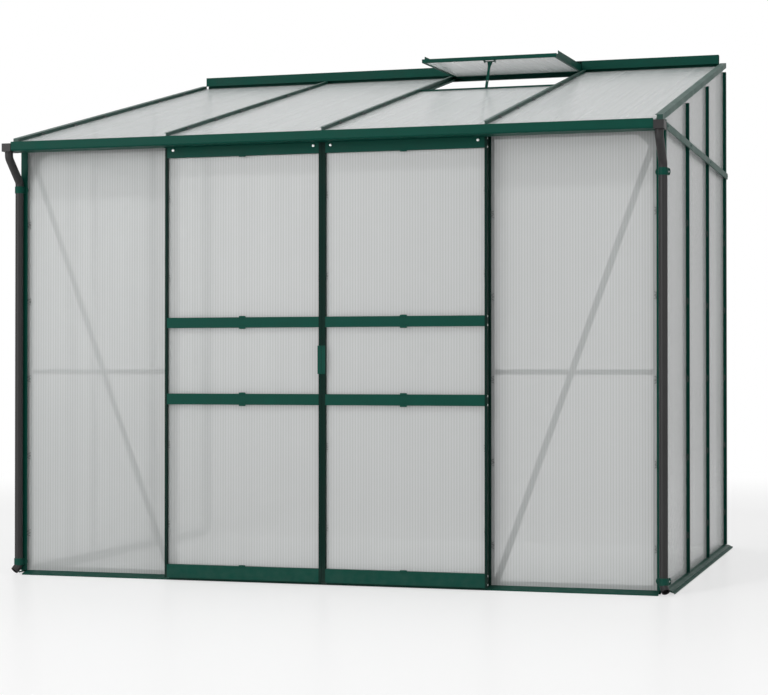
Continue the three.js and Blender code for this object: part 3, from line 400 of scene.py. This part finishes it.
# The faces that lie wholly within the width of a stile take the darker coat, painted shade for the
# stile channels
def paintStileShade(name):
    v = stileWidths
    node = cadNodes[name]
    mesh = node.data
    low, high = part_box(name)
    inner, outer = sorted((low[0], high[0]), key=abs)
    place = np.empty(len(mesh.vertices) * 3)
    mesh.vertices.foreach_get("co", place)
    corner = np.empty(len(mesh.loops), int)
    mesh.loops.foreach_get("vertex_index", corner)
    x = place[::3][corner].reshape(-1, 3)
    within = np.zeros(len(x), bool)
    for edge, width in ((inner, v["inner"]), (outer, v["outer"])):
        within |= np.abs(x - edge).max(axis=1) < width + v["slack"]
    while len(node.material_slots) < 2:
        mesh.materials.append(finishes["paintedShadeCoat"])
    node.material_slots[1].material = finishes["paintedShadeCoat"]
    mesh.polygons.foreach_set("material_index", within.astype(int))


dressFrame()
paintStileShade("left_door_frame")
paintStileShade("right_door_frame")


# Surfaces worked out on a grid of two parameters

# Quads between neighbouring grid points. The columns run round and close on themselves.
def gridFaces(rows, columns):
    index = np.arange(rows * columns).reshape(rows, columns)
    beside = np.roll(index, -1, axis=1)
    return np.stack([index[:-1], beside[:-1], beside[1:], index[1:]], axis=-1).reshape(-1, 4)


# One grid set down many times: point = origin + turn x local point, for every copy at once
def copiesOf(grid, origins, turns):
    placed = np.einsum("kij,abj->kabi", turns, grid) + origins[:, None, None, :]
    rows, columns = grid.shape[:2]
    shift = np.arange(len(origins)) * rows * columns
    faces = gridFaces(rows, columns)[None] + shift[:, None, None]
    return placed.reshape(-1, 3), faces.reshape(-1, 4)


def addPiece(name, points, faces, finish, body, sharpAngle=35):
    mesh = bpy.data.meshes.new(name)
    mesh.from_pydata(points.tolist(), [], faces.tolist())
    work = bmesh.new()
    work.from_mesh(mesh)
    bmesh.ops.remove_doubles(work, verts=work.verts, dist=1e-6)
    bmesh.ops.recalc_face_normals(work, faces=work.faces)
    work.to_mesh(mesh)
    work.free()
    mesh.polygons.foreach_set("use_smooth", [True] * len(mesh.polygons))
    mesh.set_sharp_from_angle(angle=math.radians(sharpAngle))
    mesh.materials.append(finishes[finish])
    piece = bpy.data.objects.new(name, mesh)
    bpy.context.scene.collection.objects.link(piece)
    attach(piece, body)
    return piece


def addGrid(name, grid, finish, body, slot, sharpAngle=35):
    faces = gridFaces(*grid.shape[:2])
    return addPiece(name, grid.reshape(-1, 3), faces, finish, body, sharpAngle)


# One grid at many places, each an origin and a turn
def scatter(name, grid, places, finish, body):
    origins = np.array([place for place, _ in places], float)
    turns = np.array([turn for _, turn in places], float)
    points, faces = copiesOf(grid, origins, turns)
    return addPiece(name, points, faces, finish, body)


# Turns (radius, height) pairs round the local Z axis. lobes scales the radius by the angle.
def revolve(profile, sides, lobes=None):
    angle = np.linspace(0, 2 * np.pi, sides, endpoint=False)
    scale = np.ones(sides) if lobes is None else lobes(angle)
    radius = profile[:, 0, None] * scale[None, :]
    height = np.repeat(profile[:, 1, None], sides, axis=1)
    return np.stack([radius * np.cos(angle), radius * np.sin(angle), height], axis=-1)


# Turn whose local Z points outward and whose local Y is as near upward as it can be
def facing(outward, upward):
    out = np.array(outward, float)
    up = np.array(upward, float)
    out /= np.linalg.norm(out)
    across = np.cross(up, out)
    across /= np.linalg.norm(across)
    return np.stack([across, np.cross(out, across), out], axis=1)


up, front, back = (0, 0, 1), (0, -1, 0), (0, 1, 0)
toFront, toBack = facing(front, up), facing(back, up)


def toEnd(side):
    return facing((side, 0, 0), up)


# Screws, bolts and nuts

screwValues = {"radius": 4.2 * mm, "height": 2.0 * mm}


# Pan head: a shallow dome with a small sunk recess in its crown, closed at the back. The profile is
# in shares of the radius and the height.
def screwHead(radius, height, sides=12):
    profile = np.array([
        [0, 0], [1, 0], [1, 0.45], [0.82, 0.85], [0.5, 1], [0.34, 1], [0.26, 0.5], [0, 0.45],
    ])
    return revolve(profile * [radius, height], sides)


# Hexagon nut with a stud end in it: radius = half the flats / cos(angle from the middle of the
# flat). The profile is in shares of half the flats and of the height.
def hexNut(flats, height):
    profile = np.array([
        [0, 0], [1, 0], [1, 0.9], [0.9, 1], [0.56, 1], [0.56, 1.35], [0.45, 1.45], [0, 1.45],
    ])
    sixth = np.pi / 3

    def sixFlats(angle):
        return 1 / np.cos(np.mod(angle + sixth / 2, sixth) - sixth / 2)

    return revolve(profile * [flats / 2, height], 12, sixFlats)


# Heights in the lists are in mm over the floor. Each edge of a rail has its side: 1 has the sheet
# above it and -1 below.
doorValues = {
    "topDrop": 70.6 * mm, "boltDrop": 11 * mm, "boltRadius": 5.5 * mm, "boltHeight": 3.0 * mm,
    "boltSides": 16, "screwDepth": 8 * mm,
    "railEnds": [(22, 54), (669, 701), (957, 989), (1600, 1631)],
    "tabEdges": [(62, 1), (665, -1), (706, 1), (953, -1), (992, 1), (1596.5, -1)],
    "tabWidth": 27 * mm, "tabReach": 5 * mm, "tabLap": 4 * mm, "tabThickness": 1.3 * mm,
    "tabPower": 0.35, "tabSides": 20,
}


def addDoorFasteners(side, name):
    v = doorValues
    low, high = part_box(name + "_door_frame")
    body = name + "_door"
    outerX = high[0] if side > 0 else low[0]
    doorFront = low[1]
    boltZ = eavesTop - v["topDrop"] - v["boltDrop"]
    boltX = [middleOf(f"{name}_door_roller_{n}", 0) for n in (1, 2)]
    bolts = [((x, doorFront, boltZ), toFront) for x in boltX]
    bolt = screwHead(v["boltRadius"], v["boltHeight"], v["boltSides"])
    scatter(body + "_hanger_bolts", bolt, bolts, "zinc", body)
    y = doorFront + v["screwDepth"]
    ends = [((outerX, y, z * mm), toEnd(side)) for pair in v["railEnds"] for z in pair]
    scatter(body + "_rail_screws", screwHead(**screwValues), ends, "zinc", body)
    addRailTabs(body, (low[0] + high[0]) / 2, doorFront)


# Plates that hold the sheets at the rails, with rounded corners: half the width times the cosine
# and half the height times the sine, each with its size raised to a small power
def addRailTabs(body, middle, doorFront):
    v = doorValues
    reach, lap = v["tabReach"], v["tabLap"]
    angle = np.linspace(0, 2 * np.pi, v["tabSides"], endpoint=False)
    wide, tall = [
        np.sign(wave) * np.abs(wave) ** v["tabPower"] * size / 2
        for wave, size in ((np.cos(angle), v["tabWidth"]), (np.sin(angle), reach + lap))
    ]
    rings = [(0.0, 0.0), (1.0, 0.0), (1.0, 0.75), (0.94, 1.0), (0.0, 1.0)]
    grid = np.array([
        np.stack([wide * share, tall * share, np.full_like(wide, rise * v["tabThickness"])], -1)
        for share, rise in rings
    ])
    lift = (reach - lap) / 2
    places = [((middle, doorFront, z * mm + way * lift), toFront) for z, way in v["tabEdges"]]
    scatter(body + "_rail_tabs", grid, places, "greenCoat", body)


frameValues = {
    "boltFlats": 8 * mm, "boltHeight": 4 * mm, "sillIn": 13 * mm, "sillDown": 6 * mm,
    "sillEnd": 60 * mm, "sideFront": 70 * mm, "sideBack": 30 * mm, "railJamb": 15 * mm,
    "railEnd": 34 * mm, "gussetDown": 10 * mm, "gussetIn": (54 * mm, 88 * mm),
}


def addFrameFasteners():
    v = frameValues
    railZ = middleOf("right_side_eaves_rail", 2)
    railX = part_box("right_side_eaves_rail")[1][0]
    railY = [frontY + wallSetback, *sideBarY, wallBarY]
    rails = [((s * railX, y, railZ), toEnd(s)) for s in (-1, 1) for y in railY]
    head = screwHead(**screwValues)
    nut = hexNut(v["boltFlats"], v["boltHeight"])
    scatter("frame_pan_screws", head, rails, "greenCoat", "frame")
    scatter("frame_hex_bolts", nut, insideBolts(), "zinc", "frame")


# Nuts on the inner faces of the sills, rails and gussets, where the bars are bolted through
def insideBolts():
    v = frameValues
    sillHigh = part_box("front_sill")[1]
    sillY = sillHigh[1] - v["sillIn"]
    sillX = endX - (sillY - frontY)
    z = sillHigh[2] - v["sillDown"]
    frontX = (baySize, endX - v["sillEnd"])
    places = [((s * x, sillY, z), toBack) for s in (-1, 1) for x in frontX]
    sideY = [frontY + v["sideFront"], *sideBarY, wallBarY - v["sideBack"]]
    places += [((s * sillX, y, z), toEnd(-s)) for s in (-1, 1) for y in sideY]
    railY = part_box("right_brace_rail")[1][1]
    railZ = middleOf("right_brace_rail", 2)
    railX = (baySize + v["railJamb"], endX - v["railEnd"])
    places += [((s * x, railY, railZ), toBack) for s in (-1, 1) for x in railX]
    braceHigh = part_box("right_diagonal_brace")[1]
    gussetZ = braceHigh[2] - v["gussetDown"]
    gussetX = [endX - inward for inward in v["gussetIn"]]
    places += [((s * x, braceHigh[1], gussetZ), toBack) for s in (-1, 1) for x in gussetX]
    return places


# Tubes and straps swept along a path

def headings(path):
    step = np.gradient(path, axis=0)
    return step / np.linalg.norm(step, axis=1)[:, None]


# Round rings square to each heading: centre + radius x (cos a side + sin a other)
def tubeRings(centres, heading, radii, sides, across):
    side = np.cross(heading, across)
    side /= np.linalg.norm(side, axis=1)[:, None]
    other = np.cross(heading, side)
    angle = np.linspace(0, 2 * np.pi, sides, endpoint=False)[None, :, None]
    ring = np.cos(angle) * side[:, None] + np.sin(angle) * other[:, None]
    return centres[:, None] + ring * radii[:, None, None]


# Straight runs joined by parabolas: p(t) = (1-t)^2 a + 2t(1-t) corner + t^2 b
def roundedPath(corners, bend, steps=8):
    t = np.linspace(0, 1, steps)[:, None]
    parts = [corners[:1]]
    for before, corner, after in zip(corners[:-2], corners[1:-1], corners[2:]):
        a = corner + (before - corner) / np.linalg.norm(before - corner) * bend
        b = corner + (after - corner) / np.linalg.norm(after - corner) * bend
        parts.append((1 - t) ** 2 * a + 2 * t * (1 - t) * corner + t ** 2 * b)
    return np.concatenate(parts + [corners[-1:]])


# Wire clips that press the sheets down beside each bar. Lengths without a unit are in metres, and
# the door's spans are in mm over the floor.

clipValues = {
    "halfLength": 13 * mm, "reach": 5.2 * mm, "rise": 4.2 * mm, "wire": 0.9 * mm,
    "rings": 15, "sides": 5, "aside": (0.37, 0.0, 0.93), "step": 0.30,
    "middle": 10.6 * mm, "sink": 3.4 * mm, "first": 0.16, "last": 0.08,
    "belowTop": 30 * mm, "cornerInset": 25 * mm, "belowRafter": 0.18, "pastEaves": 20 * mm,
    "ventRow": 1.36, "roofRow": 1.92,
    "doorMiddle": 2.0 * mm, "doorSink": 9.4 * mm, "doorFirst": 0.15, "doorLast": 0.1,
    "doorSpans": [(62, 665), (992, 1596.5)],
}


# A W of spring wire: s along the bar, offset = middle + reach x cos(2 pi s), and the height falls
# by rise x (1 + the same cosine). Both ends close to a point.
def wireClip(middle):
    v = clipValues
    s = np.linspace(-1, 1, v["rings"])
    wave = np.cos(2 * np.pi * s)
    path = np.stack([middle + v["reach"] * wave, s * v["halfLength"], -v["rise"] * (1 + wave)], -1)
    heading = headings(path)
    centres = np.concatenate([path[:1], path, path[-1:]])
    heading = np.concatenate([heading[:1], heading, heading[-1:]])
    radii = np.concatenate([[0], np.full(v["rings"], v["wire"]), [0]])
    return tubeRings(centres, heading, radii, v["sides"], v["aside"])


# Clips along one edge as (origin, turn). Local X runs onto the sheet and Y along the bar.
def clipRow(start, end, across, outward, sink, first, last):
    start, end = np.array(start, float), np.array(end, float)
    length = np.linalg.norm(end - start)
    heading = (end - start) / length
    out, way = np.array(outward, float), np.array(across, float)
    turn = np.stack([way, np.cross(out, way), out], axis=1)
    along = np.arange(first, length - last, clipValues["step"])
    return [(start + heading * d - out * sink, turn) for d in along]


def frameClips():
    v = clipValues
    found = []

    def row(start, end, across, outward):
        found.extend(clipRow(start, end, across, outward, v["sink"], v["first"], v["last"]))

    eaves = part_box("left_front_sheet")[1][2] - v["belowTop"]
    bars = [frontY + v["cornerInset"], *sideBarY, wallBarY]
    for s in (-1, 1):
        for x, way in ((endX - v["cornerInset"], -1), (baySize, 1)):
            row((s * x, frontY, 0), (s * x, frontY, eaves), (s * way, 0, 0), front)
        for n in range(3):
            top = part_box(f"right_side_sheet_{n + 1}")[1][2] - v["belowRafter"]
            for y, way in ((bars[n], 1), (bars[n + 1], -1)):
                row((s * endX, y, 0), (s * endX, y, top), (0, way, 0), (s, 0, 0))
    climb = np.array([0, math.cos(roofSlope), math.sin(roofSlope)])
    normal = np.array([0, -math.sin(roofSlope), math.cos(roofSlope)])
    foot = np.array([0, frontY, eavesTop]) - climb * v["pastEaves"]
    for n in range(-2, 3):
        x = n * baySize
        for way in (-1, 1):
            beside = x + way * baySize / 2
            if abs(beside) > endX:
                continue
            length = v["ventRow"] if 0 < beside < baySize else v["roofRow"]
            start = foot + [x, 0, 0]
            row(start, start + climb * length, (way, 0, 0), normal)
    return found


def doorClips(side, name):
    v = clipValues
    low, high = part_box(name + "_door_frame")
    inner, outer = sorted((low[0], high[0]), key=abs)
    innerX, outerX = inner + side * stileWidths["inner"], outer - side * stileWidths["outer"]
    found = []
    for x, way in ((innerX, side), (outerX, -side)):
        for bottom, top in v["doorSpans"]:
            ends = (x, low[1], bottom * mm), (x, low[1], top * mm)
            spacing = v["doorSink"], v["doorFirst"], v["doorLast"]
            found += clipRow(*ends, (way, 0, 0), front, *spacing)
    return found


# Downpipes: smooth rounds in place of the frame's faceted ones, with green clamps

pipeValues = {
    "radius": 15.6 * mm, "wall": 2.4 * mm, "inset": 6 * mm, "front": 17.5 * mm,
    "outletFront": 105 * mm, "neckBottom": eavesTop - 0.095, "offsetBottom": eavesTop - 0.182,
    "shoeTop": 0.034, "shoeOut": 10 * mm, "shoeForward": 16 * mm, "shoeHeight": 0.016,
    "bend": 12 * mm, "rim": 0.6 * mm, "topDepth": 18 * mm, "mouthDepth": 12 * mm, "sides": 32,
    "sharpAngle": 40,
}


def addDownpipe(side, name):
    v = pipeValues
    node = name + "_downpipe"
    x = side * (endX - v["inset"])
    backY, neckY = frontY - v["front"], frontY - v["outletFront"]
    tip = (x + side * v["shoeOut"], backY - v["shoeForward"], v["shoeHeight"])
    corners = np.array([
        (x, neckY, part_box(node)[1][2]), (x, neckY, v["neckBottom"]), (x, backY, v["offsetBottom"]),
        (x, backY, v["shoeTop"]), tip,
    ])
    path = roundedPath(corners, v["bend"])
    heading = headings(path)
    radius, inner = v["radius"], v["radius"] - v["wall"]
    inside = path[:1] + heading[:1] * v["topDepth"]
    mouth = path[-1:] - heading[-1:] * v["mouthDepth"]
    centres = np.concatenate([inside, inside, path[:1], path, path[-1:], mouth, mouth])
    ways = np.concatenate([heading[:1]] * 3 + [heading] + [heading[-1:]] * 3)
    radii = np.concatenate([
        [0, inner, inner], np.full(len(path) - 1, radius), [radius - v["rim"], inner, inner, 0],
    ])
    grid = tubeRings(centres, ways, radii, v["sides"], [1.0, 0.0, 0.0])
    look = "blackPlastic", "frame", "black_plastic", v["sharpAngle"]
    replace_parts(addGrid(node + "_pipe", grid, *look), node)
    for count, bottom in enumerate(clampValues["bottoms"], 1):
        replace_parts(addClamp(side, f"{name}_clamp_{count}", x, backY, bottom), node)


clampValues = {
    "bottoms": (0.037, eavesTop - 0.224), "height": 26 * mm, "wall": 2 * mm, "gap": 0.3 * mm,
    "tab": 36 * mm, "ear": 18 * mm, "innerRounding": 11 * mm, "outerRounding": 5.5 * mm,
    "arcSteps": 19, "endSteps": 7, "screwOut": 12.0 * mm, "screwRadius": 3.2 * mm,
    "screwHeight": 2.4 * mm, "screwSides": 16, "sharpAngle": 30,
}


# A strap bent round the pipe with flat ears. Each end is rounded: half height = H sqrt(1 -
# (1 - d / R)^2), where d is the distance from the end along the strap and R the length of the
# rounding. The section is in shares of the half thickness and the half height.
def addClamp(side, name, x, y, bottom):
    v = clampValues
    half = v["wall"] / 2
    plate = frontY - v["gap"] - half
    leg = pipeValues["radius"] + half
    middle = bottom + v["height"] / 2
    left, right = sorted((side * (endX + v["ear"]), side * (endX - v["tab"])))
    leftRound, rightRound = [v["innerRounding"], v["outerRounding"]][::side]
    ease = 1 - np.cos(np.linspace(0, np.pi / 2, v["endSteps"]))
    angle = np.linspace(-np.pi, 0, v["arcSteps"])
    flat = np.array([
        *[(left + e * leftRound, plate) for e in ease],
        (x - leg - half, plate), (x - leg, plate - half),
        *[(x + leg * np.cos(a), y + leg * np.sin(a)) for a in angle],
        (x + leg, plate - half), (x + leg + half, plate),
        *[(right - e * rightRound, plate) for e in ease[::-1]],
    ])
    path = np.concatenate([flat, np.full((len(flat), 1), middle)], axis=1)
    normal = np.cross(headings(path), [0, 0, 1.0])
    fromLeft, fromRight = np.abs(flat[:, 0] - left), np.abs(flat[:, 0] - right)
    ends = np.minimum(fromLeft / leftRound, fromRight / rightRound)
    tall = v["height"] / 2 * np.sqrt(1 - (1 - np.clip(ends, 0, 1)) ** 2)
    section = np.array([
        (1, 0.9), (0.8, 1), (-0.8, 1), (-1, 0.9), (-1, -0.9), (-0.8, -1), (0.8, -1), (1, -0.9),
    ])
    grid = path[:, None] + normal[:, None] * (half * section[:, 0])[None, :, None]
    grid[..., 2] += tall[:, None] * section[None, :, 1]
    head = screwHead(v["screwRadius"], v["screwHeight"], v["screwSides"])
    place = ((side * (endX + v["screwOut"]), plate - half, middle), toFront)
    scatter(name + "_screw", head, [place], "zinc", "frame")
    return addGrid(name, grid, "greenCoat", "frame", "green_metal", v["sharpAngle"])


stripValues = {
    "inner": 0.7 * mm, "outer": 15 * mm, "sink": 0.6 * mm, "rise": 3 * mm, "inset": 4 * mm,
    "slopeStart": 12 * mm, "slopeTop": 15 * mm, "slopeFall": 10 / 37, "sharpAngle": 20,
}


# The upper step of a side sill: height = top of the slope - fall x distance outward, run along Y
# as a four sided profile that closes to a point at both ends
def addSillStrip(side, name):
    v = stripValues
    low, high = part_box(name + "_sill")
    out = np.array([v["inner"], v["outer"], v["outer"], v["inner"]])
    lift = np.array([-v["sink"], -v["sink"], v["rise"], v["rise"]])
    z = v["slopeTop"] - v["slopeFall"] * (out + v["slopeStart"]) + lift
    ring = np.stack([side * (endX + out), np.zeros(4), z], -1)
    point = np.repeat(ring.mean(axis=0)[None], 4, axis=0)
    near, far = [0, low[1] + v["inset"], 0], [0, high[1] - v["inset"], 0]
    grid = np.array([point + near, ring + near, ring + far, point + far])
    addGrid(name + "_sill_strip", grid, "roofCoat", "frame", "green_metal", v["sharpAngle"])


for side, name in ((-1, "left"), (1, "right")):
    addDoorFasteners(side, name)
    addDownpipe(side, name)
    addSillStrip(side, name)
    clips = wireClip(clipValues["doorMiddle"])
    places = doorClips(side, name)
    scatter(name + "_door_clips", clips, places, "springWire", name + "_door")
addFrameFasteners()
print("fasteners and downpipes made")

clips = wireClip(clipValues["middle"])
scatter("sheet_clips", clips, frameClips(), "springWire", "frame")
print("wire clips made")


# Studio

# Each lamp has its place, its power and its size
studioValues = {
    "floorColour": (0.92, 0.92, 0.92, 1), "floorRoughness": 0.30, "floorShine": 0.14,
    "floorHalf": 40.0, "floorDrop": 0.4 * mm, "floorFade": (3.2, 7.0), "floorWhite": 0.56,
    "worldStrength": 0.62, "throughStrength": 0.40, "aim": (0.0, 0.0, 1.0),
    "lamps": {
        "key": ((-5.0, -9.0, 3.0), 300.0, 5.0), "fill": ((7.5, -5.0, 4.5), 130.0, 5.0),
        "high": ((-1.5, -7.0, 9.6), 205.0, 0.7), "top": ((-2.0, 3.0, 8.0), 125.0, 4.0),
    },
}


# Two masks by the kind of ray. The first is 1 for a ray from the camera. The second is 1 for a ray
# that has come through a sheet, so for a transmitted ray and for a camera ray that has passed a
# see through face.
def makeThrough(tree):
    path = addNode(tree, "ShaderNodeLightPath").outputs
    passed = mathNode(tree, "MINIMUM", path["Transparent Depth"], 1.0)
    straight = mathNode(tree, "MULTIPLY", path["Is Camera Ray"], passed)
    return path["Is Camera Ray"], mathNode(tree, "MAXIMUM", path["Is Transmission Ray"], straight)


# The floor turns into plain white light with the distance from the middle, for camera rays alone.
# Through the sheets it is plain floor, and past the open back it has the plain level of the world.
def makeFloor():
    v = studioValues
    half = v["floorHalf"]
    mesh = bpy.data.meshes.new("floor")
    corners = [(-half, -half), (half, -half), (half, half), (-half, half)]
    mesh.from_pydata([(x, y, -v["floorDrop"]) for x, y in corners], [], [(0, 1, 2, 3)])
    floor = bpy.data.objects.new("floor", mesh)
    bpy.context.scene.collection.objects.link(floor)
    material, tree, shader, place = newMaterial("studioFloor", {
        "Base Color": v["floorColour"], "Roughness": v["floorRoughness"],
        "Specular IOR Level": v["floorShine"],
    })
    away = addNode(tree, "ShaderNodeVectorMath", operation="LENGTH")
    feed(tree, place, away.inputs[0])
    distance = away.outputs["Value"]
    fade = rangeNode(tree, distance, *v["floorFade"], v["floorWhite"], 1.0, smooth=True)
    seen, through = makeThrough(tree)
    past = mathNode(tree, "GREATER_THAN", splitPlace(tree, place)["Y"], wallY)
    share = rangeNode(tree, through, 0, 1, mathNode(tree, "MULTIPLY", fade, seen), past)
    white = addNode(tree, "ShaderNodeEmission")
    level = rangeNode(tree, through, 0, 1, 1.0, v["throughStrength"])
    feed(tree, level, white.inputs["Strength"])
    mix = addNode(tree, "ShaderNodeMixShader")
    feed(tree, share, mix.inputs[0])
    feed(tree, shader.outputs[0], mix.inputs[1])
    feed(tree, white.outputs[0], mix.inputs[2])
    feed(tree, mix.outputs[0], tree.nodes["Material Output"].inputs["Surface"])
    mesh.materials.append(material)


# White where the camera looks past the object, a plain level through the sheets, and the strength
# of the world for all other light
def makeWorld():
    v = studioValues
    world = bpy.data.worlds.new("studio")
    bpy.context.scene.world = world
    world.use_nodes = True
    tree = world.node_tree
    sky = tree.nodes["Background"]
    sky.inputs["Color"].default_value = (1, 1, 1, 1)
    seen, through = makeThrough(tree)
    level = rangeNode(tree, seen, 0, 1, v["worldStrength"], 1.0)
    strength = rangeNode(tree, through, 0, 1, level, v["throughStrength"])
    feed(tree, strength, sky.inputs["Strength"])


def addLamp(name, place, power, size):
    data = bpy.data.lights.new(name, "AREA")
    data.energy, data.size, data.shape = power, size, "SQUARE"
    lamp = bpy.data.objects.new(name, data)
    lamp.location = place
    aim = np.array(studioValues["aim"]) - np.array(place)
    flat = math.hypot(aim[0], aim[1])
    lamp.rotation_euler = (math.atan2(flat, -aim[2]), 0, math.atan2(-aim[0], aim[1]))
    bpy.context.scene.collection.objects.link(lamp)


makeFloor()
makeWorld()
for name, (place, power, size) in studioValues["lamps"].items():
    addLamp(name, place, power, size)
bpy.context.scene.view_settings.view_transform = "Standard"
print("studio made")
